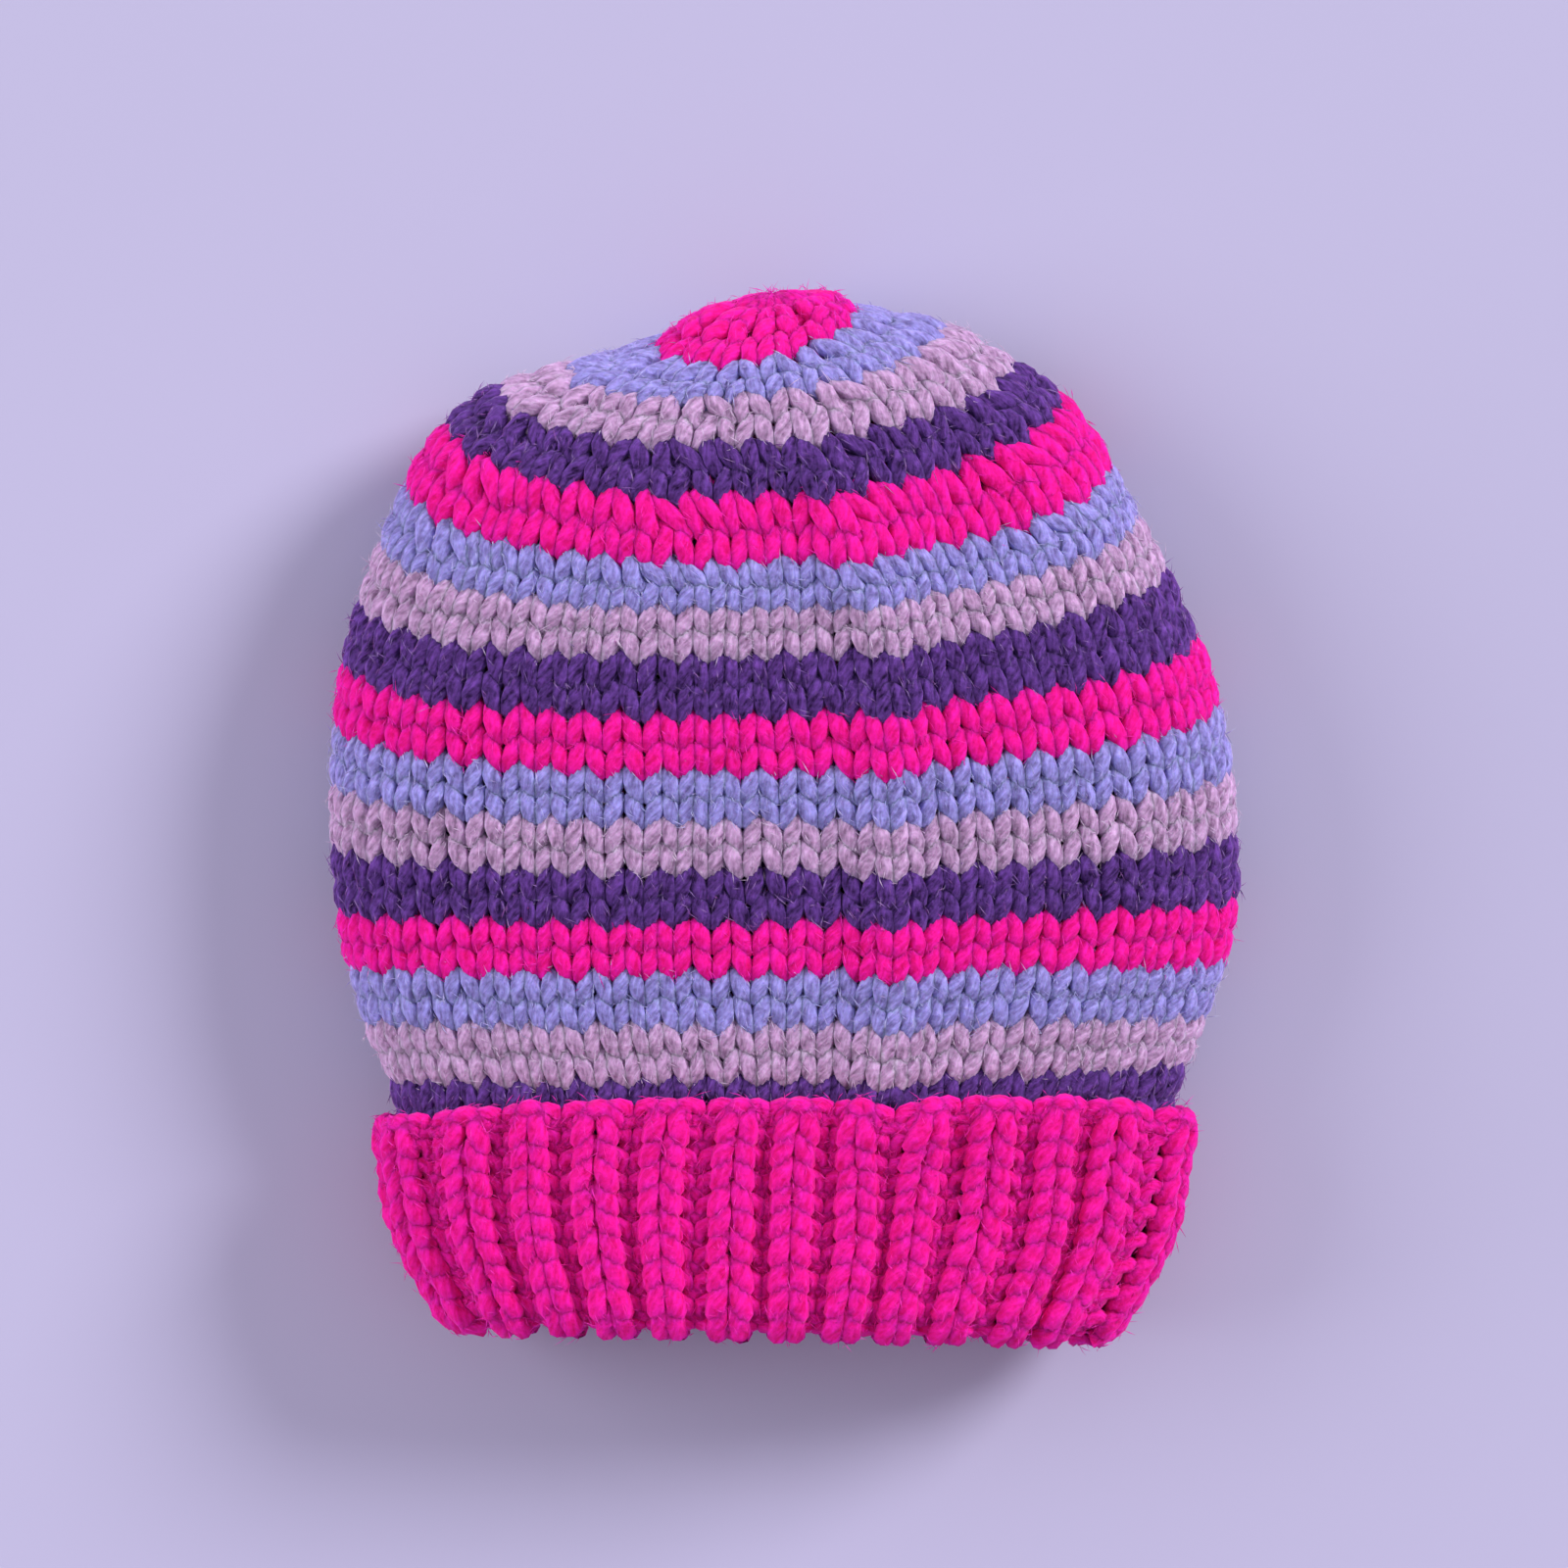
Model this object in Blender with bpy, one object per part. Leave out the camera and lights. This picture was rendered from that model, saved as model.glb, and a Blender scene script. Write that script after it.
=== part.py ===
"""A hand-knitted striped hat with a turned-up ribbed cuff, lying on its back.

Metres. +X runs across the hat, +Y from its opening to its crown, and +Z up from the surface it lies on.
The knitted wall is one surface: a ring of stitches at each stripe edge, counted from 0, where the
stripes start above the rib, to the closed crown. Below 0 the same surface runs down to the fold of the
cuff. Every solid is cut from that surface, at so many stripe edges along it and so far out from it.
"""

import math
from collections import namedtuple

import bmesh
import bpy
from mathutils import Vector

WALL = 0.0050  # thickness of one layer of the knitting
GAP = 0.0003  # left between one yarn's solid and the next
FOLD_SLOT = 0.0006  # between the two layers of the turned-up cuff
AROUND = 40  # facets round the hat

STRIPE_YARNS = ("purple", "lilac", "blue", "pink")  # in this order from the cuff up
STRIPES = 16
CROWN_EDGE = STRIPES - 1  # the stripe edge where the closed end of the crown starts

FOLD_EDGE = -3.3  # where the rib turns back on itself, in stripe edges below the first stripe
CAST_ON_EDGE = 0.42  # how far up the first stripe the turned-up edge reaches
CAST_ON_DROP = 0.30  # how much lower it is at the sides, in stripes
SLOT_BOTTOM_EDGE = -2.6  # the lowest place where the two layers of the cuff can be parted
FOLD_STEPS = 4  # facets round the outside of the fold
RIB_RING_EDGE = -1.8  # each face of the rib has one ring of facets between its two ends, near here
SLOT_RING_EDGE = -1.3
OUTER_RING_EDGE = -1.0
CROWN_STEPS = 3  # facets from the closed end's rim to its middle
LIP = 0.0016  # how far the rounded cast-on edge stands up

FRONT_FULLNESS = 0.86  # under 1, the upper layer is flatter than an ellipse
BACK_FULLNESS = 0.75  # the same for the layer it lies on
PRESSED = 0.005  # how deep the underside would sag if the surface under it didn't flatten it
LIFT_REACH = 2.0  # in stripes, how far before the closed end the underside stops being pressed flat
FLOOR_SNAP = 0.0002  # anything this near the floor lies on it
EDGE_SNAP = 0.05  # an end this near a stripe edge, in stripes, is one of its two faces

# One ring of the hat: where its middle, widest points, upper and lower layers are.
Ring = namedtuple(
    "Ring",
    "edge middle_x half_width side_y lean front_drop back_rise side_z front_z back_z",
)
RINGS = (
    Ring(-3.3, -0.0014, 0.0695, -0.1089, -0.0012, 0.0000, 0.0000, 0.0250, 0.0460, 0.0056),
    Ring(-1.8, -0.0008, 0.0798, -0.0905, -0.0004, 0.0000, 0.0000, 0.0245, 0.0455, 0.0056),
    Ring(0.0, -0.0002, 0.0842, -0.0695, 0.0010, 0.0000, 0.0005, 0.0240, 0.0450, 0.0056),
    Ring(1.0, 0.0006, 0.0876, -0.0570, 0.0014, 0.0008, -0.0008, 0.0230, 0.0455, 0.0054),
    Ring(2.0, 0.0002, 0.0926, -0.0455, 0.0008, 0.0010, 0.0002, 0.0215, 0.0465, 0.0020),
    Ring(4.0, 0.0005, 0.0992, -0.0192, 0.0012, 0.0042, 0.0000, 0.0205, 0.0485, 0.0000),
    Ring(7.0, -0.0018, 0.0975, 0.0226, 0.0022, 0.0138, -0.0034, 0.0210, 0.0510, 0.0000),
    Ring(9.0, -0.0050, 0.0888, 0.0510, 0.0036, 0.0168, -0.0062, 0.0215, 0.0520, 0.0000),
    Ring(11.0, -0.0058, 0.0774, 0.0762, 0.0022, 0.0212, -0.0057, 0.0220, 0.0520, 0.0000),
    Ring(12.0, -0.0066, 0.0683, 0.0897, 0.0026, 0.0207, -0.0066, 0.0222, 0.0515, 0.0000),
    Ring(13.0, -0.0063, 0.0568, 0.0975, 0.0028, 0.0167, -0.0026, 0.0225, 0.0505, 0.0000),
    Ring(14.0, -0.0060, 0.0415, 0.1036, 0.0042, 0.0120, 0.0022, 0.0228, 0.0478, 0.0012),
    Ring(15.0, -0.0062, 0.0228, 0.1072, 0.0038, 0.0077, 0.0040, 0.0250, 0.0420, 0.0092),
    Ring(15.5, -0.0042, 0.0160, 0.1124, 0.0022, 0.0040, 0.0018, 0.0257, 0.0360, 0.0165),
    Ring(16.0, -0.0030, 0.0000, 0.1144, 0.0000, 0.0000, 0.0000, 0.0262, 0.0262, 0.0262),
)

# A soft fold runs up the upper layer, with a hollow beside it under the crown.
RIDGE_X = 0.0235
RIDGE_TURN_EDGE = 9.0  # above this stripe edge the ridge veers to the middle
RIDGE_VEER = 0.0042  # for each stripe edge
RIDGE_HEIGHT = 0.0038
RIDGE_SAG = 0.0018  # how far the rows of stitches dip along the ridge
RIDGE_SPREAD = 0.0082
RIDGE_TOP_EDGE = 12.0
RIDGE_FOOT_EDGE = 0.5  # it starts here, above the cuff
HOLLOW_X = 0.0440
HOLLOW_EDGE = 11.6
HOLLOW_DEPTH = 0.0062
HOLLOW_SPREAD = 0.0150
HOLLOW_REACH = 1.6  # in stripe edges

STEP = 0.01  # for the slopes of the surface

YARNS = {
    "pink": (0.82, 0.012, 0.27, 1.0),
    "blue": (0.23, 0.27, 0.72, 1.0),
    "lilac": (0.47, 0.28, 0.50, 1.0),
    "purple": (0.10, 0.045, 0.26, 1.0),
}
SHARP_ANGLE = 40.0  # degrees, between faces that meet in a visible edge
YARN_ROUGHNESS = 0.9


def clear_scene():
    for thing in list(bpy.data.objects):
        bpy.data.objects.remove(thing)


def slope(index, field):
    """The slope of one field of the rings at a station, from its neighbours."""
    low = max(index - 1, 0)
    high = min(index + 1, len(RINGS) - 1)
    rise = getattr(RINGS[high], field) - getattr(RINGS[low], field)
    return rise / (RINGS[high].edge - RINGS[low].edge)


def ring_at(edge):
    """The hat's ring at any stripe edge, on a smooth curve through the stations."""
    index = 0
    while index < len(RINGS) - 2 and RINGS[index + 1].edge < edge:
        index += 1
    start, end = RINGS[index], RINGS[index + 1]
    span = end.edge - start.edge
    t = (edge - start.edge) / span
    values = [edge]
    for field in Ring._fields[1:]:
        ease_in = (2 * t**3 - 3 * t**2 + 1) * getattr(start, field)
        ease_out = (3 * t**2 - 2 * t**3) * getattr(end, field)
        leave = (t**3 - 2 * t**2 + t) * span * slope(index, field)
        arrive = (t**3 - t**2) * span * slope(index + 1, field)
        values.append(ease_in + ease_out + leave + arrive)
    return Ring(*values)


def ridge(edge, x):
    """1 on the crest of the fold and 0 away from it."""
    veer = max(edge - RIDGE_TURN_EDGE, 0.0) * RIDGE_VEER
    across = (x - RIDGE_X + veer) / RIDGE_SPREAD
    beyond = max(edge - RIDGE_TOP_EDGE, RIDGE_FOOT_EDGE - edge, 0.0)
    return math.exp(-(across**2) - beyond**2)


def hollow(edge, x):
    """1 in the bottom of the dent beside the fold and 0 away from it."""
    across = (x - HOLLOW_X) / HOLLOW_SPREAD
    along = (edge - HOLLOW_EDGE) / HOLLOW_REACH
    return math.exp(-(across**2) - along**2)


def knit_point(edge, angle):
    """A point of the outer surface. Angle 0 is the +X side, a quarter turn is the top."""
    ring = ring_at(edge)
    bulge = abs(math.sin(angle))
    x = ring.middle_x + ring.half_width * math.cos(angle)
    y = ring.side_y + ring.lean * math.cos(angle)
    if math.sin(angle) >= 0:
        crest = ridge(edge, x) * bulge
        y -= ring.front_drop * bulge + RIDGE_SAG * crest
        z = ring.side_z + (ring.front_z - ring.side_z) * bulge**FRONT_FULLNESS
        z += RIDGE_HEIGHT * crest - HOLLOW_DEPTH * hollow(edge, x) * bulge
    else:
        y += ring.back_rise * bulge
        pressed = PRESSED * min(max((CROWN_EDGE - edge) / LIFT_REACH, 0.0), 1.0)
        z = ring.side_z - (ring.side_z - ring.back_z + pressed) * bulge**BACK_FULLNESS
        z = max(z, ring.back_z)
    return Vector((x, y, z))


def knit_normal(edge, angle):
    """The way out of the surface at a point of it."""
    below = min(edge, STRIPES - STEP)
    along = knit_point(below + STEP, angle) - knit_point(below - STEP, angle)
    round_it = knit_point(below, angle + STEP) - knit_point(below, angle - STEP)
    return along.cross(round_it).normalized()


def crown_normal():
    """The way out of the closed end at its middle, square to the crown's edge."""
    front = knit_point(CROWN_EDGE, math.pi / 2)
    back = knit_point(CROWN_EDGE, -math.pi / 2)
    return (back - front).cross(Vector((-1, 0, 0))).normalized()


def lowered(edge, angle):
    """An edge of the turned-up layer, lowered at the sides where the cuff's corners are rounded."""
    share = max(edge / CAST_ON_EDGE, 0.0)
    return edge - CAST_ON_DROP * share * math.cos(angle) ** 4


def raised_point(edge, angle, out):
    """A point so far out from the surface, and never below the floor. Two neighbours' end faces
    stand along the normal of the stripe edge between them, so they stay parallel."""
    stripe_edge = round(edge)
    near = abs(edge - stripe_edge) < EDGE_SNAP
    point = knit_point(edge, angle) + knit_normal(stripe_edge if near else edge, angle) * out
    if point.z < FLOOR_SNAP:
        point.z = 0.0
    return point


def ring_of(bm, edge, out):
    """The vertices of one ring, so far out from the surface."""
    ring = []
    for step in range(AROUND):
        angle = 2 * math.pi * step / AROUND
        here = lowered(edge, angle) if out >= FOLD_SLOT else edge
        ring.append(bm.verts.new(raised_point(here, angle, out)))
    return ring


def join_rings(bm, first, second):
    """A band of faces between two rings."""
    for here in range(AROUND):
        after = (here + 1) % AROUND
        bm.faces.new((first[here], first[after], second[after]))
        bm.faces.new((first[here], second[after], second[here]))


def close_end(bm, ring, point):
    """A fan of faces from a ring to one point."""
    tip = bm.verts.new(point)
    for here in range(AROUND):
        bm.faces.new((ring[here], ring[(here + 1) % AROUND], tip))


def yarn_material(name):
    material = bpy.data.materials.new(name)
    material.use_nodes = True
    shader = material.node_tree.nodes["Principled BSDF"]
    shader.inputs["Base Color"].default_value = YARNS[name.removesuffix("_yarn")]
    shader.inputs["Roughness"].default_value = YARN_ROUGHNESS
    shader.inputs["Metallic"].default_value = 0.0
    return material


def add_object(name, bm, yarn):
    bmesh.ops.recalc_face_normals(bm, faces=bm.faces)
    mesh = bpy.data.meshes.new(name)
    bm.to_mesh(mesh)
    bm.free()
    mesh.shade_smooth()
    mesh.set_sharp_from_angle(angle=math.radians(SHARP_ANGLE))
    mesh.materials.append(yarn_material(f"{yarn}_yarn"))
    thing = bpy.data.objects.new(name, mesh)
    bpy.context.collection.objects.link(thing)
    return thing


def band(name, section, yarn):
    """A closed ring whose section is a loop of places, each an edge and a distance out."""
    bm = bmesh.new()
    rings = [(out, ring_of(bm, edge, out)) for edge, out in section]
    for here, near in enumerate(rings):
        far = rings[(here + 1) % len(rings)]
        # The outer ring first, so that two neighbours' end faces are the same triangles.
        outer, inner = (near, far) if near[0] >= far[0] else (far, near)
        join_rings(bm, outer[1], inner[1])
    return add_object(name, bm, yarn)


def edge_length(edge):
    """How long one stripe is there, along the side of the hat."""
    return (knit_point(edge + STEP, 0.0) - knit_point(edge - STEP, 0.0)).length / (2 * STEP)


def stripe(number):
    """One stripe, a ring of wall from one stripe edge to the next."""
    yarn = STRIPE_YARNS[(number - 1) % len(STRIPE_YARNS)]
    low = number - 1 + GAP / 2 / edge_length(number - 1)
    high = number - GAP / 2 / edge_length(number)
    middle = number - 0.5
    section = ((low, 0.0), (middle, 0.0), (high, 0.0), (high, -WALL), (middle, -WALL), (low, -WALL))
    return band(f"stripe_{number:02d}_{yarn}", section, yarn)


def crown_end():
    """The closed end of the crown, a shallow cup with its gathered middle slightly sunk."""
    yarn = STRIPE_YARNS[(STRIPES - 1) % len(STRIPE_YARNS)]
    start = CROWN_EDGE + GAP / 2 / edge_length(CROWN_EDGE)
    edges = [start] + [CROWN_EDGE + step / CROWN_STEPS for step in range(1, CROWN_STEPS)]
    tip = knit_point(STRIPES, 0.0)
    bm = bmesh.new()
    outer = [ring_of(bm, edge, 0.0) for edge in edges]
    inner = [ring_of(bm, edge, -WALL) for edge in edges]
    for layer in (outer, inner):
        for first, second in zip(layer, layer[1:]):
            join_rings(bm, first, second)
    join_rings(bm, outer[0], inner[0])
    close_end(bm, outer[-1], tip)
    close_end(bm, inner[-1], tip - crown_normal() * WALL)
    return add_object(f"crown_end_{yarn}", bm, yarn)


def cuff():
    """The ribbed band, folded up on the outside: inner layer, fold and outer layer with its slot."""
    out = FOLD_SLOT + WALL
    join = -GAP / 2 / edge_length(0.0)
    lip_rise = LIP / edge_length(CAST_ON_EDGE)
    inner_layer = [
        (RIB_RING_EDGE, -WALL),
        (join, -WALL),
        (join, 0.0),
        (SLOT_RING_EDGE, 0.0),
        (SLOT_BOTTOM_EDGE, 0.0),
    ]
    outer_layer = [
        (SLOT_BOTTOM_EDGE, FOLD_SLOT),
        (SLOT_RING_EDGE, FOLD_SLOT),
        (CAST_ON_EDGE, FOLD_SLOT),
        (CAST_ON_EDGE + lip_rise, FOLD_SLOT + WALL / 2),
        (CAST_ON_EDGE, out),
        (OUTER_RING_EDGE, out),
    ]
    fold = []
    radius = (out + WALL) / 2
    middle = (out - WALL) / 2
    for step in range(FOLD_STEPS + 1):
        turn = math.pi * step / FOLD_STEPS
        down = radius * math.sin(turn) / edge_length(FOLD_EDGE + STEP)
        fold.append((FOLD_EDGE - down, middle + radius * math.cos(turn)))
    return band("rib_cuff", inner_layer + outer_layer + fold, "pink")


clear_scene()
cuff()
for number in range(1, STRIPES):
    stripe(number)
crown_end()
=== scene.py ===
"""The looks of the knitted hat: every stripe and the ribbed cuff as loops of soft plied yarn.

The CAD solids are the knitted wall. Here each of them is replaced by its own rows of stitches, which run
through the same wall. A place in the knitting is three numbers: an edge, counted in stripes from the
rib to the closed crown, a share of the way round, and a distance out from the wall's outer face.
"""

import math

import bpy
import numpy as np
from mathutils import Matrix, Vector


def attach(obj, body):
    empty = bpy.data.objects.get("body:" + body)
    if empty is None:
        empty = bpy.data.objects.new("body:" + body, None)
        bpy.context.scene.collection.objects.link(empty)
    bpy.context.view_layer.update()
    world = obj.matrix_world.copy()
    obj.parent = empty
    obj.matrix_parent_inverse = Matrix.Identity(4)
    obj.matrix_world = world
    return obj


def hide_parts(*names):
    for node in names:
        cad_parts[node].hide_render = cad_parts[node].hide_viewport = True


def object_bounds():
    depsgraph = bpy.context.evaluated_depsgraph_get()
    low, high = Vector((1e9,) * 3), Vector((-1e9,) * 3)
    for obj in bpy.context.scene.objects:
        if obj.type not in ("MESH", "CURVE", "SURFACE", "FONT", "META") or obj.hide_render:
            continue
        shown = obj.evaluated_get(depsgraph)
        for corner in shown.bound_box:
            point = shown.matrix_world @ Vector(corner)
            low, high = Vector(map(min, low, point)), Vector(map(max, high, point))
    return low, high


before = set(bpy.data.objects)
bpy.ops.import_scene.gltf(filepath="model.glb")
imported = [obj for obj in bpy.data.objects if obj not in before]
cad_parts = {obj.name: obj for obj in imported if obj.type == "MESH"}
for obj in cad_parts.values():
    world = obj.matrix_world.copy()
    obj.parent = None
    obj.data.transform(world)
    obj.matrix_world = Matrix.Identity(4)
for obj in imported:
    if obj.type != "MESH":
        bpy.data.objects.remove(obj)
CAD_LOW, CAD_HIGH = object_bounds()

# The hat's rings as in the part: each station's edge, then its middle_x, half_width, side_y, lean,
# front_drop, back_rise, side_z, front_z and back_z, in millimetres on a hat of the size below.
RINGS = np.array(
    [
        (-3.3, -1.4, 69.5, -108.9, -1.2, 0.0, 0.0, 25.0, 46.0, 5.6),
        (-1.8, -0.8, 79.8, -90.5, -0.4, 0.0, 0.0, 24.5, 45.5, 5.6),
        (0.0, -0.2, 84.2, -69.5, 1.0, 0.0, 0.5, 24.0, 45.0, 5.6),
        (1.0, 0.6, 87.6, -57.0, 1.4, 0.8, -0.8, 23.0, 45.5, 5.4),
        (2.0, 0.2, 92.6, -45.5, 0.8, 1.0, 0.2, 21.5, 46.5, 2.0),
        (4.0, 0.5, 99.2, -19.2, 1.2, 4.2, 0.0, 20.5, 48.5, 0.0),
        (7.0, -1.8, 97.5, 22.6, 2.2, 13.8, -3.4, 21.0, 51.0, 0.0),
        (9.0, -5.0, 88.8, 51.0, 3.6, 16.8, -6.2, 21.5, 52.0, 0.0),
        (11.0, -5.8, 77.4, 76.2, 2.2, 21.2, -5.7, 22.0, 52.0, 0.0),
        (12.0, -6.6, 68.3, 89.7, 2.6, 20.7, -6.6, 22.2, 51.5, 0.0),
        (13.0, -6.3, 56.8, 97.5, 2.8, 16.7, -2.6, 22.5, 50.5, 0.0),
        (14.0, -6.0, 41.5, 103.6, 4.2, 12.0, 2.2, 22.8, 47.8, 1.2),
        (15.0, -6.2, 22.8, 107.2, 3.8, 7.7, 4.0, 25.0, 42.0, 9.2),
        (15.5, -4.2, 16.0, 112.4, 2.2, 4.0, 1.8, 25.7, 36.0, 16.5),
        (16.0, -3.0, 0.0, 114.4, 0.0, 0.0, 0.0, 26.2, 26.2, 26.2),
    ]
)
NOMINAL_LENGTH = 230.3  # of the hat that the stations describe, in millimetres
SCALE = (CAD_HIGH.y - CAD_LOW.y) / NOMINAL_LENGTH  # metres in one of the units used here

FRONT_FULLNESS, BACK_FULLNESS = 0.86, 0.75  # powers that round each ring: the lower, the squarer
PRESSED = 5.0  # how much lower the back would reach if the floor didn't press it flat
LIFT_REACH = 2.0  # stripes below the crown over which the back lifts off the floor
CROWN_EDGE = 15.0
CLOSED_EDGE = 16.0

# The soft fold up the upper layer and the hollow beside it.
RIDGE_X, RIDGE_SPREAD = 23.5, 8.2
RIDGE_HEIGHT, RIDGE_SAG = 3.8, 1.8
RIDGE_FOOT_EDGE, RIDGE_TOP_EDGE = 0.5, 12.0
RIDGE_TURN_EDGE, RIDGE_VEER = 9.0, 4.2
HOLLOW_X, HOLLOW_SPREAD = 44.0, 15.0
HOLLOW_EDGE, HOLLOW_REACH = 11.6, 1.6
HOLLOW_DEPTH = 6.2

# The table of angles along each ring: from below the fold to just short of the closed end.
FIRST_LEVEL, LAST_LEVEL, LEVEL_COUNT = -4.2, 15.9, 202
SHARE_COUNT = 721
ANGLE_COUNT = 1441
STEP = 0.01  # of an edge or an angle, between the points that give a direction
MOST_STEPS = 4  # nearer the closed end than this many, a direction is taken from further back

# Yarn and stitches.
YARN_RADIUS = 2.02
SIDES = 8  # facets round the yarn
POINTS = 14  # along the yarn in one stitch
DEPTH = 1.05  # how far a stitch's legs stand in front of its middle, and its head behind
REACH = 0.78  # half the height of a loop, in rows: past a half, it locks with the next row
PINCH = 0.205  # how far the legs lean into a V, as a share of the stitch's width
WEDGES = 8
BODY_STITCHES = 56
PLAIN_ROWS = 21  # then each second row takes one stitch from each wedge
ROWS = 34
ROWS_IN_STRIPE = 2
STRIPES = 16
SEAM_SHARE = 0.102  # where the first wedge starts, as a share of the way round
LAST_EDGE = 15.97
DRIFT = 0.14  # of a stitch, how far the columns wander
ROW_HEIGHT = 5.9
MOST_STRETCH = 1.7  # a row this much taller has its yarn no thicker
JOIN_SWELL = 0.42  # how much thicker two stitches knitted together are
LEG_SWELL = 0.07  # how much thicker a loop's legs are than its head and foot

# How uneven the stitches are: sideways as a share of a stitch, upwards as a share of a row, in depth
# and thickness as a share of each, and outwards.
UNEVEN_ACROSS, UNEVEN_UP, UNEVEN_DEPTH, UNEVEN_THICK = 0.03, 0.05, 0.12, 0.03
UNEVEN_OUT, RIB_UNEVEN_OUT = 0.14, 0.10

# The slow waves that the columns and rows wander on: how many times round, and how fast they turn.
WAVE_TURNS = range(3, 16, 2)
WAVE_PACE = (0.25, 0.9)
ROW_DRIFT = 0.035  # of a stripe, how far the rows wander
ROW_WAVES, ROW_WAVE_EDGES = 3, 40  # how slowly the rows' waves turn round the hat and up it
RIB_WAVE_ROWS = 3  # how many rib rows count as a stripe

RIB_STITCHES = 52
RIB_ROWS = 17
RIB_ROWS_OUTSIDE = 9
KNIT_SHARE = 0.60  # of a pair's width that the raised column takes
RIB_RADIUS = 1.8
RIB_REACH = 0.84
RIB_PINCH = 0.17
KNIT_LIFT, KNIT_DEPTH, KNIT_SWELL = 0.6, 0.75, 0.40  # a raised column: forward, its legs more so, thick
PURL_LIFT, PURL_DEPTH, PURL_SWELL = -1.1, -0.25, 0.08  # and a sunk one
CAST_ON_FOOT = 0.40  # rows below the top edge that the cast-on loops start
KNIT_ARCH, KNIT_ARCH_OUT = 0.66, 1.0  # how far they arch up, in rows, and out
PURL_ARCH, PURL_ARCH_OUT = 0.20, -0.8
RIB_DRIFT = 0.22
CAST_ON_EDGE, CAST_ON_DROP, CAST_ON_POWER = 0.42, 0.30, 4  # the cuff's top edge is lower at the sides
FOLD_EDGE = -3.22
OUTER_MIDDLE, INNER_MIDDLE = 2.9, -3.1
EDGE_LENGTH = 11.9  # of one stripe edge to the next, near the fold

# Loose fibres on the yarn's surface.
BODY_FIBRES, RIB_FIBRES = 26, 23  # for each stitch
FIBRE_LENGTH = (1.8, 4.8)
FIBRE_RADIUS = (0.07, 0.15)
FIBRE_LIFT, LIFT_SHAPE = 0.5, 2.0  # their ends' height over the yarn: its mean, and how it varies
FIBRE_LEAN, LEAN_SPREAD = 0.45, 0.45  # radians that they lean from the yarn's way, with its twist
FIBRE_TURNS = (-0.15, 1.15)  # half turns round the yarn: mostly on its outward side
FIBRE_ROOT, FIBRE_BOW, FIBRE_TIP = 0.12, 0.16, 0.02  # the root's depth, and the least heights further on
FIBRE_FLOOR, YARN_FLOOR = 0.02, 0.05  # nothing is lower than this over the floor

STRIPE_YARNS = ("purple", "lilac", "blue", "pink")
SEED = 7
rng = np.random.default_rng(SEED)


# ---- the wall's surface ----


def ring_at(edge):
    """The stations' values at any edges, on smooth curves through them."""
    known, values = RINGS[:, 0], RINGS[:, 1:]
    low = np.maximum(np.arange(len(known)) - 1, 0)
    high = np.minimum(np.arange(len(known)) + 1, len(known) - 1)
    slopes = (values[high] - values[low]) / (known[high] - known[low])[:, None]
    here = np.clip(np.searchsorted(known, edge) - 1, 0, len(known) - 2)
    span = (known[here + 1] - known[here])[..., None]
    t = (edge[..., None] - known[here][..., None]) / span
    start = (2 * t**3 - 3 * t**2 + 1) * values[here] + (t**3 - 2 * t**2 + t) * span * slopes[here]
    end = (3 * t**2 - 2 * t**3) * values[here + 1] + (t**3 - t**2) * span * slopes[here + 1]
    return np.moveaxis(start + end, -1, 0)


def ridge(edge, x):
    veer = np.maximum(edge - RIDGE_TURN_EDGE, 0) * RIDGE_VEER
    across = (x - RIDGE_X + veer) / RIDGE_SPREAD
    beyond = np.maximum(np.maximum(edge - RIDGE_TOP_EDGE, RIDGE_FOOT_EDGE - edge), 0)
    return np.exp(-(across**2) - beyond**2)


def hollow(edge, x):
    across = (x - HOLLOW_X) / HOLLOW_SPREAD
    along = (edge - HOLLOW_EDGE) / HOLLOW_REACH
    return np.exp(-(across**2) - along**2)


def wall_point(edge, angle):
    """Points of the wall's outer face. Angle 0 is the +X side, a quarter turn is the top."""
    edge, angle = np.broadcast_arrays(np.asarray(edge, float), np.asarray(angle, float))
    middle_x, half_width, side_y, lean, front_drop, back_rise, side_z, front_z, back_z = ring_at(edge)
    sine, cosine = np.sin(angle), np.cos(angle)
    bulge = np.abs(sine)
    front = sine >= 0
    x = middle_x + half_width * cosine
    crest = ridge(edge, x) * bulge
    drop = front_drop * bulge + RIDGE_SAG * crest
    y = side_y + lean * cosine + np.where(front, -drop, back_rise * bulge)
    upper = side_z + (front_z - side_z) * bulge**FRONT_FULLNESS
    upper += RIDGE_HEIGHT * crest - HOLLOW_DEPTH * hollow(edge, x) * bulge
    pressed = PRESSED * np.clip((CROWN_EDGE - edge) / LIFT_REACH, 0, 1)
    under = side_z - (side_z - back_z + pressed) * bulge**BACK_FULLNESS
    z = np.where(front, upper, np.maximum(under, back_z))
    return np.stack([x, y, z], -1)


def wall_normal(edge, angle):
    inside = np.minimum(edge, CLOSED_EDGE - MOST_STEPS * STEP)
    along = wall_point(inside + STEP, angle) - wall_point(inside - STEP, angle)
    round_it = wall_point(inside, angle + STEP) - wall_point(inside, angle - STEP)
    way = np.cross(along, round_it)
    return way / np.linalg.norm(way, axis=-1, keepdims=True)


LEVELS = np.linspace(FIRST_LEVEL, LAST_LEVEL, LEVEL_COUNT)
SHARES = np.linspace(0, 1, SHARE_COUNT)


def angle_table():
    """The angle at each share of the way round, measured along the knitting, for each level."""
    angles = np.linspace(0, 2 * math.pi, ANGLE_COUNT)
    rows = []
    for level in LEVELS:
        ring = wall_point(np.full(len(angles), level), angles)
        length = np.linalg.norm(np.diff(ring, axis=0), axis=1)
        way = np.concatenate([[0], np.cumsum(length)])
        rows.append(np.interp(SHARES, way / way[-1], angles))
    return np.array(rows)


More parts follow.
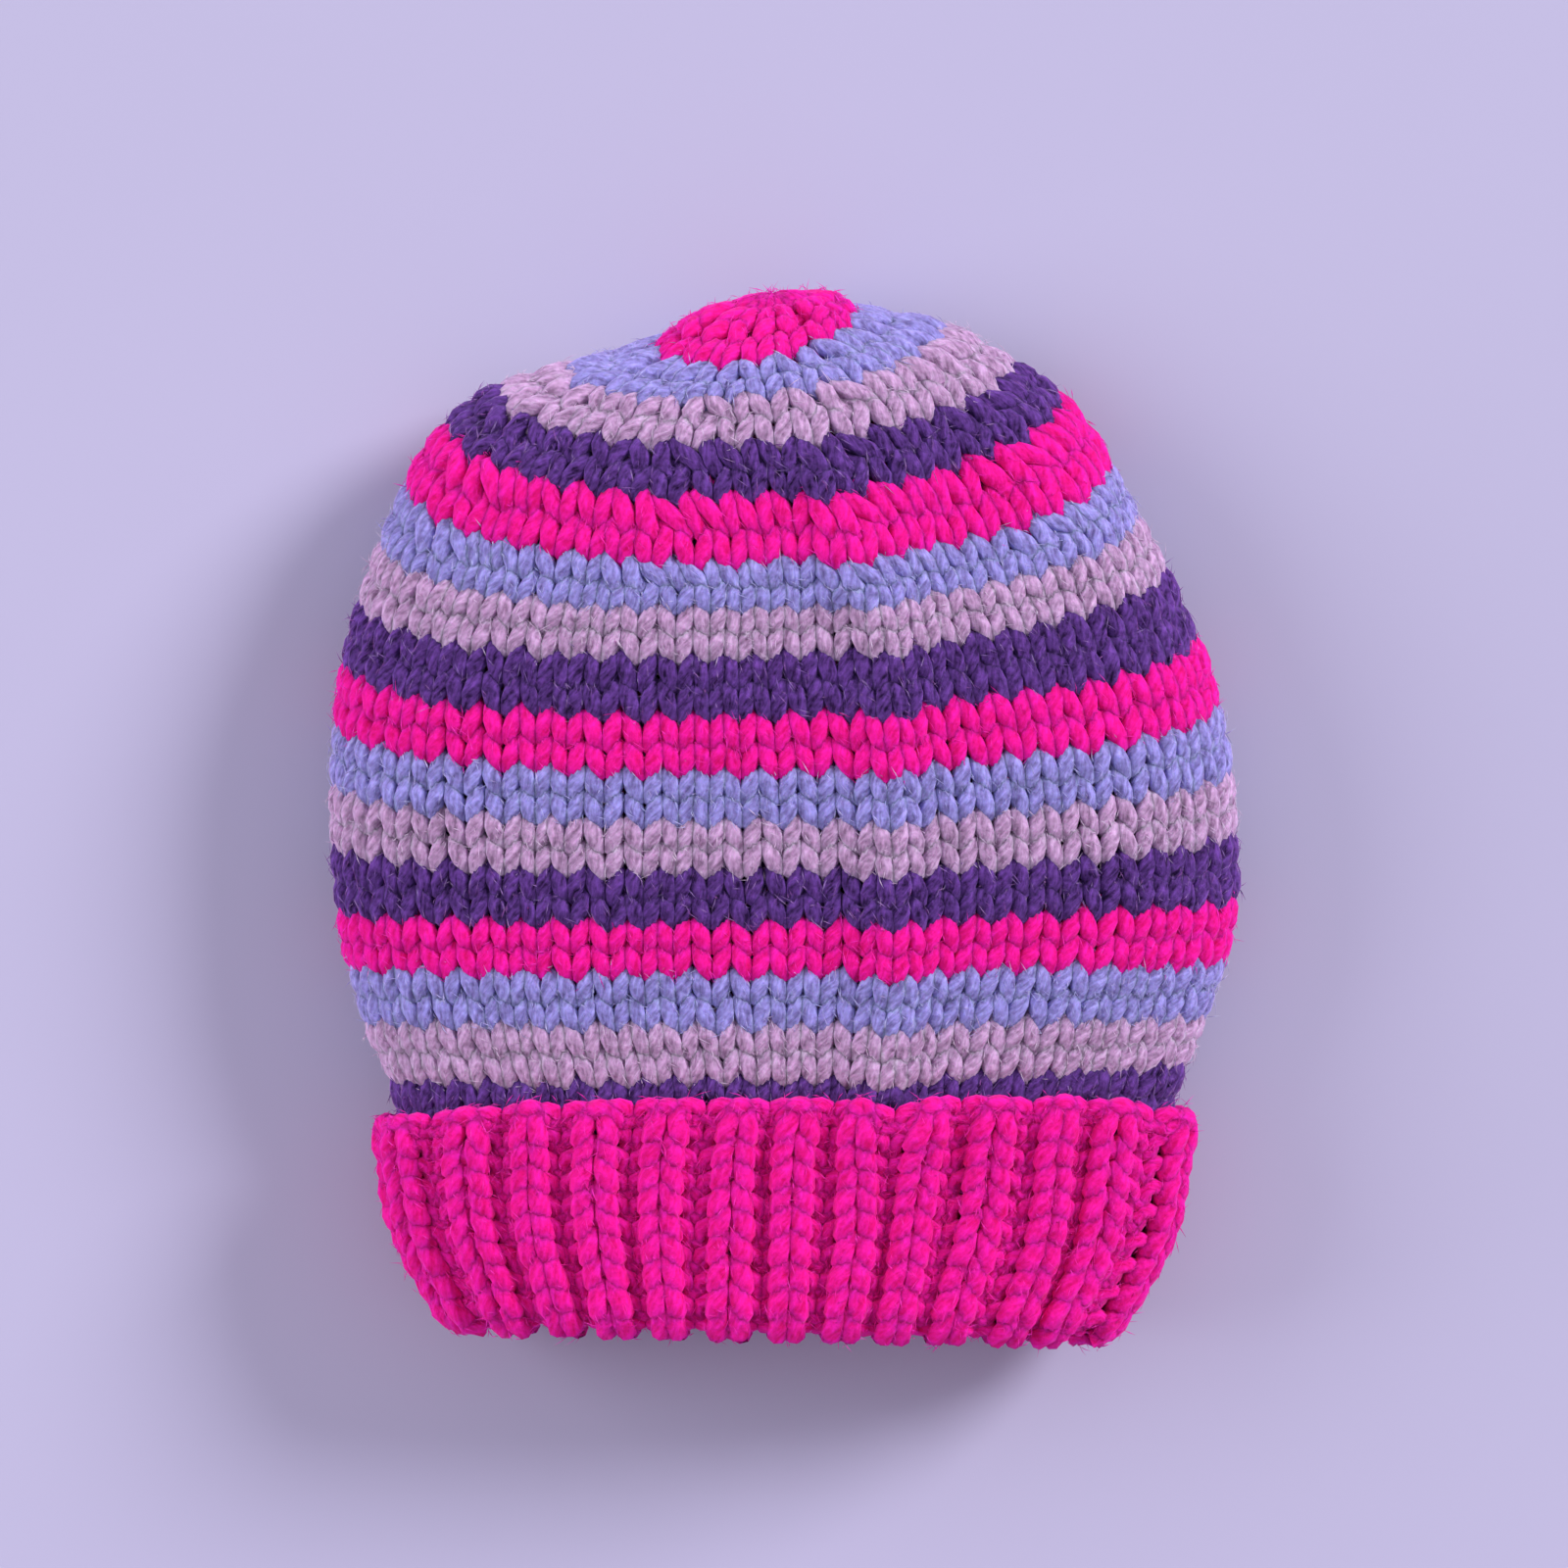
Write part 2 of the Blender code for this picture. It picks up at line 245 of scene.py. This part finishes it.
ANGLES = angle_table()


def angle_at(edge, share):
    """The angle of a share of the way round at an edge."""
    turns = np.floor(share)
    across = (share - turns) * (len(SHARES) - 1)
    along = np.clip((edge - LEVELS[0]) / (LEVELS[1] - LEVELS[0]), 0, len(LEVELS) - 1.001)
    i, j = along.astype(int), np.minimum(across.astype(int), len(SHARES) - 2)
    u, v = along - i, across - j
    low = ANGLES[i, j] * (1 - v) + ANGLES[i, j + 1] * v
    high = ANGLES[i + 1, j] * (1 - v) + ANGLES[i + 1, j + 1] * v
    return low * (1 - u) + high * u + 2 * math.pi * turns


def place(edge, share, out):
    """Points of the knitting and the way out of the wall there."""
    angle = angle_at(edge, share)
    normal = wall_normal(edge, angle)
    return wall_point(edge, angle) + normal * out[..., None], normal


def wall_at(edge, share):
    """Points of the wall's outer face at one edge."""
    edge = np.full_like(share, min(edge, LAST_EDGE))
    return wall_point(edge, angle_at(edge, share))


# ---- rows of stitches ----


def loop_shape(pinch, reach):
    """One stitch from the middle of one link to the next: how far across its cell, up it and forward."""
    t = np.arange(POINTS) * 2 * math.pi / POINTS
    across = t / (2 * math.pi) + pinch * np.sin(2 * t)
    up = 0.5 - reach * np.cos(t)
    forward = -np.cos(2 * t)
    return across, up, forward


def stitches_in(row):
    """How many stitches a row has. Above the plain rows each second row loses one from each wedge."""
    lost = max(0, (row - PLAIN_ROWS + 1) // 2)
    return max(BODY_STITCHES - WEDGES * lost, WEDGES)


def cell_edges(row):
    """Where a row's stitches start and end, as shares of the way round: at its foot and at its head."""
    count, below = stitches_in(row), stitches_in(row - 1)
    head = np.arange(count + 1) / count
    if count == below:
        return head, head
    each = count // WEDGES
    inside = np.arange(each) / below
    foot = np.concatenate([wedge / WEDGES + inside for wedge in range(WEDGES)] + [[1.0]])
    return foot, head


def uneven(count, size):
    """A small hand-knitted variation, one number for each stitch, eased from each to the next."""
    values = rng.normal(0, size, count)
    way = (np.arange(count * POINTS) / POINTS - 0.5) % count
    here = way.astype(int) % count
    ease = way - np.floor(way)
    ease = ease * ease * (3 - 2 * ease)
    return values[here] * (1 - ease) + values[(here + 1) % count] * ease


WAVES = [(turn, rng.uniform(*WAVE_PACE), rng.uniform(0, 2 * math.pi)) for turn in WAVE_TURNS]


def wander(edge, share):
    """A slow drift of the columns and rows from their places, at most about 1."""
    waves = [np.sin(2 * math.pi * turn * share + pace * edge + start) for turn, pace, start in WAVES]
    return sum(waves) / math.sqrt(len(WAVES) * 2)


def body_row(row, low, high):
    """One row of plain knitting between two edges: its edge, share and distance out, and radii."""
    foot, head = cell_edges(row)
    count = len(head) - 1
    across, up, forward = (np.tile(part, count) for part in loop_shape(PINCH, REACH))
    cell = np.repeat(np.arange(count), POINTS)
    rise = np.clip(up, 0, 1)
    start = foot[cell] * (1 - rise) + head[cell] * rise
    end = foot[cell + 1] * (1 - rise) + head[cell + 1] * rise
    share = start + (end - start) * across + uneven(count, UNEVEN_ACROSS) / count + SEAM_SHARE
    edge = low + (high - low) * (up + uneven(count, UNEVEN_UP))
    share = share + wander(edge, share) * DRIFT / count
    edge = edge + wander(share * ROW_WAVES, edge / ROW_WAVE_EDGES) * ROW_DRIFT
    depth = DEPTH * forward * (1 + uneven(count, UNEVEN_DEPTH))
    out = depth - DEPTH - YARN_RADIUS + uneven(count, UNEVEN_OUT)
    wide = 1 + JOIN_SWELL * ((end - start) * stitches_in(row) - 1) * (1 - rise)
    tall = np.linalg.norm(wall_at(high, share) - wall_at(low, share), axis=-1) / ROW_HEIGHT
    radius = YARN_RADIUS * (1 + LEG_SWELL * forward) * (1 + uneven(count, UNEVEN_THICK)) * wide
    radius = radius * np.sqrt(np.clip(tall, 1, MOST_STRETCH))
    return np.minimum(edge, LAST_EDGE), share, out, radius


def rib_widths():
    """The rib's cells, a wide raised column and a narrow sunk one in turn."""
    pairs = RIB_STITCHES // 2
    widths = np.tile([KNIT_SHARE, 1 - KNIT_SHARE], pairs) / pairs
    return np.concatenate([[0], np.cumsum(widths)])


def rib_path(along, forward, share):
    """From the cast-on edge down the outer layer, round the fold and up the inner one."""
    angle = angle_at(np.zeros_like(share), share)
    top = CAST_ON_EDGE - CAST_ON_DROP * np.cos(angle) ** CAST_ON_POWER
    radius = (OUTER_MIDDLE - INNER_MIDDLE) / 2
    outside = (top - FOLD_EDGE) * EDGE_LENGTH
    bend = math.pi * radius
    inside = -FOLD_EDGE * EDGE_LENGTH
    way = along / RIB_ROWS * (outside + bend + inside)
    turn = np.clip((way - outside) / radius, 0, math.pi)
    edge = np.where(way < outside, top - way / EDGE_LENGTH, FOLD_EDGE)
    edge = edge - (radius + forward) * np.sin(turn) / EDGE_LENGTH
    edge = edge + np.maximum(way - outside - bend, 0) / EDGE_LENGTH
    out = (OUTER_MIDDLE + INNER_MIDDLE) / 2 + (radius + forward) * np.cos(turn)
    return edge, out


def rib_row(row):
    """One row of one by one rib: raised and sunk columns in turn."""
    cells = rib_widths()
    count = RIB_STITCHES
    across, up, forward = (np.tile(part, count) for part in loop_shape(RIB_PINCH, RIB_REACH))
    cell = np.repeat(np.arange(count), POINTS)
    bow = np.sin(np.tile(np.arange(POINTS) * math.pi / POINTS, count))
    knit_cell = cell % 2 == 0
    share = cells[cell] + (cells[cell + 1] - cells[cell]) * across + uneven(count, UNEVEN_ACROSS) / count
    share = share + wander(row / RIB_WAVE_ROWS, share) * RIB_DRIFT / count
    raised = np.where(
        knit_cell,
        KNIT_LIFT * bow + KNIT_DEPTH * (1 + forward),
        PURL_LIFT * bow + PURL_DEPTH * (1 + forward),
    )
    raised = raised + uneven(count, RIB_UNEVEN_OUT)
    edge, out = rib_path(row + up + uneven(count, UNEVEN_UP), raised, share)
    swell = np.where(knit_cell, KNIT_SWELL, PURL_SWELL) * np.sqrt(bow)
    return edge, share, out, RIB_RADIUS * (1 + swell) * (1 + uneven(count, UNEVEN_THICK))


def cast_on_row():
    """The first loops: an arch over each raised column and a smaller one behind over each sunk one."""
    cells = rib_widths()
    count = RIB_STITCHES
    t = np.tile(np.arange(POINTS) / POINTS, count)
    cell = np.repeat(np.arange(count), POINTS)
    knit_cell = cell % 2 == 0
    arch = np.sin(math.pi * t)
    share = cells[cell] + (cells[cell + 1] - cells[cell]) * t
    share = share + wander(0.0, share) * RIB_DRIFT / count
    along = CAST_ON_FOOT - np.where(knit_cell, KNIT_ARCH, PURL_ARCH) * arch + uneven(count, UNEVEN_UP)
    forward = np.where(knit_cell, KNIT_ARCH_OUT, PURL_ARCH_OUT) * arch + uneven(count, RIB_UNEVEN_OUT)
    edge, out = rib_path(along, forward, share)
    swell = np.where(knit_cell, KNIT_SWELL, 0.0) * arch
    return edge, share, out, RIB_RADIUS * (1 + swell)


# ---- meshes ----

# A loose fibre's six faces: its root is point 0, its waist points 1 to 3, its tip point 4.
SPINDLE = [(0, 1, 2), (0, 2, 3), (0, 3, 1), (4, 2, 1), (4, 3, 2), (4, 1, 3)]
MAP_START = 0.25  # of a turn, from where the strand map starts to the yarn's side
HIGHLIGHT_FIBRE_MAP = 2  # added to the strand map's second axis on the half of the fibres that get a painted highlight


def yarn_tube(edge, share, out, radius):
    """Rings of vertices along a closed course of yarn, its frame, and the distance along it."""
    centre, normal = place(edge, share, out)
    ahead = np.roll(centre, -1, 0) - np.roll(centre, 1, 0)
    ahead /= np.linalg.norm(ahead, axis=1, keepdims=True)
    side = np.cross(ahead, normal)
    side /= np.linalg.norm(side, axis=1, keepdims=True)
    up = np.cross(side, ahead)
    turn = (np.arange(SIDES) / SIDES - MAP_START) * 2 * math.pi
    ring = side[:, None] * np.cos(turn)[None, :, None] + up[:, None] * np.sin(turn)[None, :, None]
    points = centre[:, None] + ring * radius[:, None, None]
    step = np.linalg.norm(np.roll(centre, -1, 0) - centre, axis=1)
    return points, (centre, ahead, side, up, radius), np.concatenate([[0], np.cumsum(step)])


def stray_fibres(frame_of, length, count):
    """Short bent fibres that lie on the yarn: five points each, and their place in the strand map."""
    centre, ahead, side, up, radius = frame_of
    at = rng.integers(0, len(centre), count)
    turn = rng.uniform(*FIBRE_TURNS, count) * math.pi
    across = np.cos(turn)[:, None] * side[at] + np.sin(turn)[:, None] * up[at]
    skew = rng.normal(FIBRE_LEAN, LEAN_SPREAD, count)[:, None]
    way = ahead[at] * np.cos(skew) + np.cross(across, ahead[at]) * np.sin(skew)
    way *= rng.choice([-1.0, 1.0], count)[:, None]
    reach = rng.uniform(*FIBRE_LENGTH, count)[:, None]
    lift = rng.gamma(LIFT_SHAPE, FIBRE_LIFT / LIFT_SHAPE, count)[:, None]
    root = centre[at] + across * (radius[at][:, None] - FIBRE_ROOT)
    middle = root + way * reach / 2 + across * (FIBRE_BOW + lift / 2)
    tip = root + way * reach + across * (FIBRE_TIP + lift)
    flank = np.cross(across, way)
    thick = rng.uniform(*FIBRE_RADIUS, count)[:, None]
    thirds = np.arange(3) * 2 * math.pi / 3
    waist = [middle + (across * math.cos(third) + flank * math.sin(third)) * thick for third in thirds]
    points = np.stack([root, *waist, tip], 1)
    points[..., 2] = np.maximum(points[..., 2], FIBRE_FLOOR)
    # Half of the fibres, chosen at random, are marked for a painted highlight.
    highlight_mark = rng.integers(0, 2, count) * HIGHLIGHT_FIBRE_MAP
    return points, np.stack([length[at], turn / (2 * math.pi) + MAP_START + highlight_mark], -1)


def knit(name, courses, fibres, material, slot, *nodes):
    """One piece made of courses of yarn, with a map of each strand's length and way round."""
    points, quads, maps, hairs, hair_maps, first = [], [], [], [], [], 0
    for course in courses:
        rings, frame_of, length = yarn_tube(*course)
        count = len(rings)
        rings[..., 2] = np.maximum(rings[..., 2], YARN_FLOOR)
        i, j = (a.ravel() for a in np.meshgrid(np.arange(count), np.arange(SIDES), indexing="ij"))
        after, beside = (i + 1) % count, (j + 1) % SIDES
        corners = [i * SIDES + j, after * SIDES + j, after * SIDES + beside, i * SIDES + beside]
        quads.append(np.stack(corners, 1) + first)
        u = [length[i], length[i + 1], length[i + 1], length[i]]
        v = [j / SIDES, j / SIDES, (j + 1) / SIDES, (j + 1) / SIDES]
        maps.append(np.stack([np.stack(u, 1), np.stack(v, 1)], -1).reshape(-1, 2))
        points.append(rings.reshape(-1, 3))
        first += count * SIDES
        hair, hair_map = stray_fibres(frame_of, length, fibres * count // POINTS)
        hairs.append(hair)
        hair_maps.append(hair_map)
    hairs, hair_maps = np.concatenate(hairs), np.concatenate(hair_maps)
    spindle = np.array(SPINDLE)
    starts = first + np.arange(len(hairs)) * hairs.shape[1]
    triangles = (starts[:, None, None] + spindle[None]).reshape(-1, 3)
    quads = np.concatenate(quads)
    points = np.concatenate(points + [hairs.reshape(-1, 3)]) * SCALE
    maps = np.concatenate(maps + [np.repeat(hair_maps, spindle.size, axis=0)])
    corners = np.concatenate([quads.ravel(), triangles.ravel()])
    loop_starts = np.concatenate([np.arange(len(quads)) * 4, quads.size + np.arange(len(triangles)) * 3])
    mesh = bpy.data.meshes.new(name)
    mesh.vertices.add(len(points))
    mesh.vertices.foreach_set("co", points.ravel())
    mesh.loops.add(len(corners))
    mesh.loops.foreach_set("vertex_index", corners)
    mesh.polygons.add(len(loop_starts))
    mesh.polygons.foreach_set("loop_start", loop_starts)
    strand = mesh.uv_layers.new(name="strand")
    strand.data.foreach_set("uv", maps.astype(np.float32).ravel())
    mesh.update(calc_edges=True)
    mesh.shade_smooth()
    mesh.materials.append(material)
    piece = bpy.data.objects.new(name, mesh)
    bpy.context.scene.collection.objects.link(piece)
    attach(piece, "root")
    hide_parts(*nodes)
    return piece


# ---- materials ----

# Each yarn as a painted-shade copy of its colour, darkened as if in shade between its fibres, and a
# painted-highlight copy, lightened as if its fibres caught the light.
YARNS = {
    "pink": ((0.580, 0.000, 0.128), (1.000, 0.010, 0.420)),
    "blue": ((0.118, 0.095, 0.262), (0.400, 0.362, 0.860)),
    "lilac": ((0.205, 0.115, 0.212), (0.680, 0.422, 0.708)),
    "purple": ((0.008, 0.000, 0.026), (0.165, 0.058, 0.350)),
}
PLY_LENGTH = 7.0  # along the yarn for one turn of its plies
PLIES = 3
HIGHLIGHT_MAP_SPLIT = 1.5  # between the second axis of the strand map on the yarn and on the fibres with a painted highlight
STREAK_PITCH, STREAK_TURNS = 0.45, 4.5  # how often the fibre streaks change along and across the yarn
TUFT_SCALE, PATCH_SCALE = 750.0, 140.0  # features about 1.5 mm and 7 mm across
NOISE_DETAIL = 2.0

# How much each pattern lightens the yarn from its painted-shade colour towards its painted-highlight colour,
# and what is taken off so that its middle is between the two colours. The streaks, tufts and patches are
# random tone, the ply term is painted shade in the grooves between the plies, and the fibre term a painted
# highlight.
STREAK_SHADE, TUFT_SHADE, PATCH_SHADE, PLY_SHADE, HIGHLIGHT_FIBRE_SHADE = 1.6, 0.9, 0.45, 0.22, 0.35
SHADE_OFFSET = 1.12
# How much each pattern raises the surface.
PLY_BUMP, STREAK_BUMP, TUFT_BUMP = 0.7, 0.8, 1.0
BUMP_STRENGTH, BUMP_DISTANCE = 0.7, 0.0007
TINT_BASE = 0.1  # the sheen's tint is this much white

YARN_FINISH = {
    "Roughness": 0.88,
    "Specular IOR Level": 0.12,
    "Subsurface Weight": 0.6,
    "Subsurface Radius": (1.0, 0.5, 0.8),
    "Subsurface Scale": 0.003,
    "Sheen Weight": 0.35,
    "Sheen Roughness": 0.5,
}
FLOOR_FINISH = {"Roughness": 0.9, "Specular IOR Level": 0.1}
FLOOR_TINTS = (0.440, 0.402, 0.589, 1.0), (0.455, 0.416, 0.609, 1.0)
FLOOR_SCALE, FLOOR_DETAIL = 9.0, 3.0


class Nodes:
    """Short calls that add shader nodes and link them."""

    def __init__(self, material):
        self.tree = material.node_tree

    def add(self, kind, **settings):
        node = self.tree.nodes.new(kind)
        for name, value in settings.items():
            setattr(node, name, value)
        return node

    def put(self, socket, value):
        if isinstance(value, bpy.types.NodeSocket):
            self.tree.links.new(value, socket)
        else:
            socket.default_value = value

    def math(self, operation, first, second=0.0):
        node = self.add("ShaderNodeMath", operation=operation)
        self.put(node.inputs[0], first)
        self.put(node.inputs[1], second)
        return node.outputs[0]

    def noise(self, vector, scale, detail=NOISE_DETAIL):
        node = self.add("ShaderNodeTexNoise")
        self.put(node.inputs["Vector"], vector)
        self.put(node.inputs["Scale"], scale)
        self.put(node.inputs["Detail"], detail)
        return node.outputs["Fac"]

    def total(self, *parts):
        """The sum of several patterns, each times its weight."""
        weighted = [self.math("MULTIPLY", pattern, weight) for pattern, weight in parts]
        whole = weighted[0]
        for more in weighted[1:]:
            whole = self.math("ADD", whole, more)
        return whole

    def mix(self, share, first, second):
        node = self.add("ShaderNodeMix", data_type="RGBA")
        self.put(node.inputs["Factor"], share)
        self.put(node.inputs["A"], first)
        self.put(node.inputs["B"], second)
        return node.outputs["Result"]


def finish(shader, values):
    for socket, value in values.items():
        shader.inputs[socket].default_value = value


def yarn_material(name, painted_shade_colour, lit):
    """Soft brushed yarn: twisted plies, fine fibres along them, uneven dye and a pale sheen, its colour
    mixed from a painted-shade copy to a painted-highlight copy.
    """
    material = bpy.data.materials.new(f"{name}_yarn")
    material.use_nodes = True
    nodes = Nodes(material)
    shader = material.node_tree.nodes["Principled BSDF"]
    strand = nodes.add("ShaderNodeUVMap", uv_map="strand").outputs["UV"]
    parts = nodes.add("ShaderNodeSeparateXYZ")
    nodes.put(parts.inputs[0], strand)
    along, around = parts.outputs["X"], parts.outputs["Y"]
    twist = nodes.math("ADD", nodes.math("DIVIDE", along, PLY_LENGTH), nodes.math("MULTIPLY", around, PLIES))
    wave = nodes.math("SINE", nodes.math("MULTIPLY", twist, 2 * math.pi))
    ply = nodes.math("ADD", nodes.math("MULTIPLY", wave, 0.5), 0.5)
    streak_at = nodes.add("ShaderNodeCombineXYZ")
    nodes.put(streak_at.inputs["X"], nodes.math("MULTIPLY", along, STREAK_PITCH))
    nodes.put(streak_at.inputs["Y"], nodes.math("MULTIPLY", twist, STREAK_TURNS))
    streaks = nodes.noise(streak_at.outputs["Vector"], 1.0)
    place_of = nodes.add("ShaderNodeTexCoord").outputs["Object"]
    tufts = nodes.noise(place_of, TUFT_SCALE)
    patches = nodes.noise(place_of, PATCH_SCALE)
    # Painted highlight on the marked half of the fibres.
    highlight_fibres = nodes.math("GREATER_THAN", around, HIGHLIGHT_MAP_SPLIT)
    shade = nodes.total(
        (streaks, STREAK_SHADE),
        (tufts, TUFT_SHADE),
        (patches, PATCH_SHADE),
        # Painted shade in the grooves between the plies.
        (ply, PLY_SHADE),
        (highlight_fibres, HIGHLIGHT_FIBRE_SHADE),
    )
    shade = nodes.math("SUBTRACT", shade, SHADE_OFFSET)
    # The colour goes from the painted-shade copy to the painted-highlight copy as the patterns lighten it.
    nodes.put(shader.inputs["Base Color"], nodes.mix(shade, (*painted_shade_colour, 1.0), (*lit, 1.0)))
    finish(shader, YARN_FINISH)
    tint = [TINT_BASE + (1 - TINT_BASE) * part for part in lit]
    shader.inputs["Sheen Tint"].default_value = (*tint, 1.0)
    bump = nodes.add("ShaderNodeBump")
    bump.inputs["Strength"].default_value = BUMP_STRENGTH
    bump.inputs["Distance"].default_value = BUMP_DISTANCE
    height = nodes.total((ply, PLY_BUMP), (streaks, STREAK_BUMP), (tufts, TUFT_BUMP))
    nodes.put(bump.inputs["Height"], height)
    nodes.put(shader.inputs["Normal"], bump.outputs["Normal"])
    return material


def floor_material():
    material = bpy.data.materials.new("pale_lavender_floor")
    material.use_nodes = True
    nodes = Nodes(material)
    shader = material.node_tree.nodes["Principled BSDF"]
    place_of = nodes.add("ShaderNodeTexCoord").outputs["Object"]
    grain = nodes.noise(place_of, FLOOR_SCALE, FLOOR_DETAIL)
    nodes.put(shader.inputs["Base Color"], nodes.mix(grain, *FLOOR_TINTS))
    finish(shader, FLOOR_FINISH)
    return material


# ---- the hat ----


def row_bounds(row):
    """The edges a row lies between. The closed end has four rows in the room of one stripe."""
    body_rows = (STRIPES - 1) * ROWS_IN_STRIPE
    if row <= body_rows:
        return (row - 1) / ROWS_IN_STRIPE, row / ROWS_IN_STRIPE
    step = 1 / (ROWS - body_rows)
    return CROWN_EDGE + (row - 1 - body_rows) * step, CROWN_EDGE + (row - body_rows) * step


def build_hat():
    materials = {name: yarn_material(name, *colours) for name, colours in YARNS.items()}
    for number in range(1, STRIPES + 1):
        yarn = STRIPE_YARNS[(number - 1) % len(STRIPE_YARNS)]
        first = (number - 1) * ROWS_IN_STRIPE + 1
        last = ROWS if number == STRIPES else first + ROWS_IN_STRIPE - 1
        courses = [body_row(row, *row_bounds(row)) for row in range(first, last + 1)]
        ending = number == STRIPES
        node = f"crown_end_{yarn}" if ending else f"stripe_{number:02d}_{yarn}"
        knit(f"knit_{number:02d}_{yarn}", courses, BODY_FIBRES, materials[yarn], f"{yarn}_yarn", node)
    outer = [cast_on_row()] + [rib_row(row) for row in range(RIB_ROWS_OUTSIDE)]
    inner = [rib_row(row) for row in range(RIB_ROWS_OUTSIDE, RIB_ROWS)]
    knit("knit_cuff_outer", outer, RIB_FIBRES, materials["pink"], "pink_yarn", "rib_cuff")
    knit("knit_cuff_inner", inner, RIB_FIBRES, materials["pink"], "pink_yarn", "rib_cuff")


# ---- the studio ----

PICTURE_WIDTH = 0.344  # of what the camera sees at the hat's widest level
PICTURE_LEVEL = 0.022
CAMERA_HEIGHT = 2.2
CAMERA_SENSOR = 36.0
CAMERA_X, CAMERA_Y = -0.0002, 0.0067
FLOOR_SIZE = 40.0

# Each light: the way towards it, how wide it looks in degrees, and its strength.
LIGHTS = {
    "key_light": ((1.5, 0.9, 1.0), 22, 3.2),
    "fill_light": ((-1.6, 0.3, 0.65), 50, 2.25),
    "top_light": ((0.0, 0.3, 1.5), 80, 0.15),
}
SKY_TINT, SKY_STRENGTH = (0.9, 0.92, 1.0, 1.0), 0.5


def build_floor():
    mesh = bpy.data.meshes.new("floor")
    half = FLOOR_SIZE / 2
    corners = [(-half, -half, 0), (half, -half, 0), (half, half, 0), (-half, half, 0)]
    mesh.from_pydata(corners, [], [(0, 1, 2, 3)])
    mesh.materials.append(floor_material())
    floor = bpy.data.objects.new("floor", mesh)
    bpy.context.scene.collection.objects.link(floor)


def add_light(name, towards, softness, strength):
    """Even light from one direction, with soft-edged shadows."""
    light = bpy.data.lights.new(name, "SUN")
    light.angle = math.radians(softness)
    light.energy = strength
    lamp = bpy.data.objects.new(name, light)
    lamp.location = towards
    lamp.rotation_euler = Vector(towards).to_track_quat("Z", "Y").to_euler()
    bpy.context.scene.collection.objects.link(lamp)


def build_studio():
    build_floor()
    for name, (towards, softness, strength) in LIGHTS.items():
        add_light(name, towards, softness, strength)
    world = bpy.data.worlds.new("studio")
    world.use_nodes = True
    sky = world.node_tree.nodes["Background"]
    sky.inputs["Color"].default_value = SKY_TINT
    sky.inputs["Strength"].default_value = SKY_STRENGTH
    bpy.context.scene.world = world
    bpy.context.scene.view_settings.view_transform = "Standard"


def build_camera():
    data = bpy.data.cameras.new("camera")
    data.sensor_width = CAMERA_SENSOR
    data.lens = CAMERA_SENSOR * (CAMERA_HEIGHT - PICTURE_LEVEL) / PICTURE_WIDTH
    camera = bpy.data.objects.new("camera", data)
    camera.location = (CAMERA_X, CAMERA_Y, CAMERA_HEIGHT)
    bpy.context.scene.collection.objects.link(camera)
    bpy.context.scene.camera = camera


build_hat()
build_studio()
build_camera()
